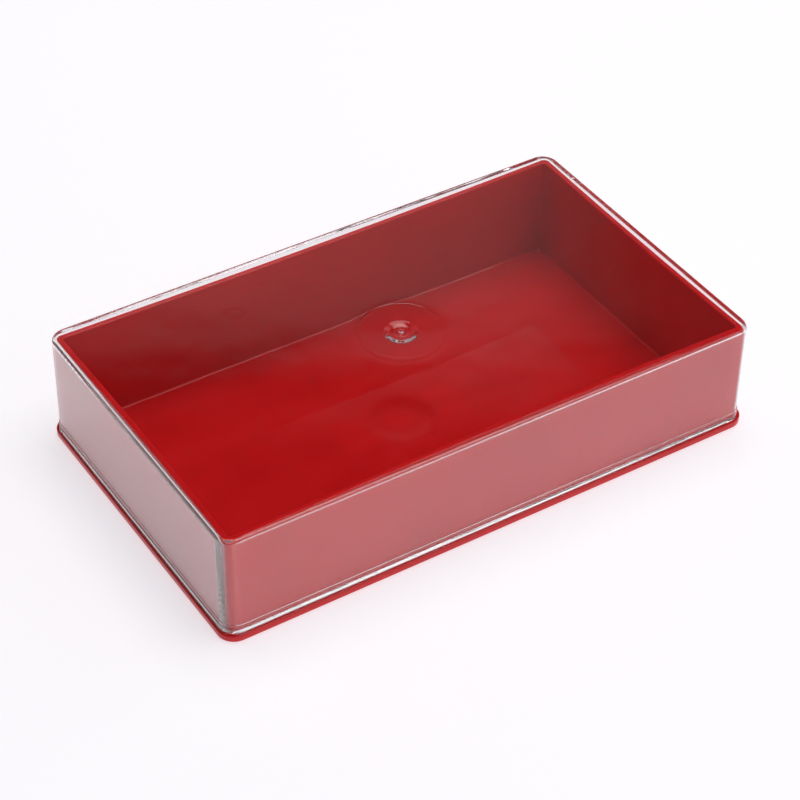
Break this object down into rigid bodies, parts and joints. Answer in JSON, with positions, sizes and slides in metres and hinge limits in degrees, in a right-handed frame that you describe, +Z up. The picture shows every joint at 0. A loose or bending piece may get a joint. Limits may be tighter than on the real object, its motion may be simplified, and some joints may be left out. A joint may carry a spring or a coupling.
{
  "type": "developing tray",
  "caption": "Shallow rectangular red moulded tray on a thin foot flange, with a clear slip-over lid that lifts straight off.",
  "frame": {"origin": "middle of the tray's flat underside", "axes": "+X along the long side, +Y along the short side, +Z up, the way the lid lifts"},
  "size_m": [0.2, 0.1196, 0.0406],
  "materials": {
    "tray_red": "glossy opaque red",
    "lid_clear": "polished clear"
  },
  "bodies": {
    "tray": {"tray": "tray_red"},
    "lid": {"lid": "lid_clear"}
  },
  "joints": [
    {"name": "lid_lift", "type": "slide", "parent": "tray", "child": "lid", "axis": [0, 0, 1], "range_m": [0, 0.06]}
  ]
}
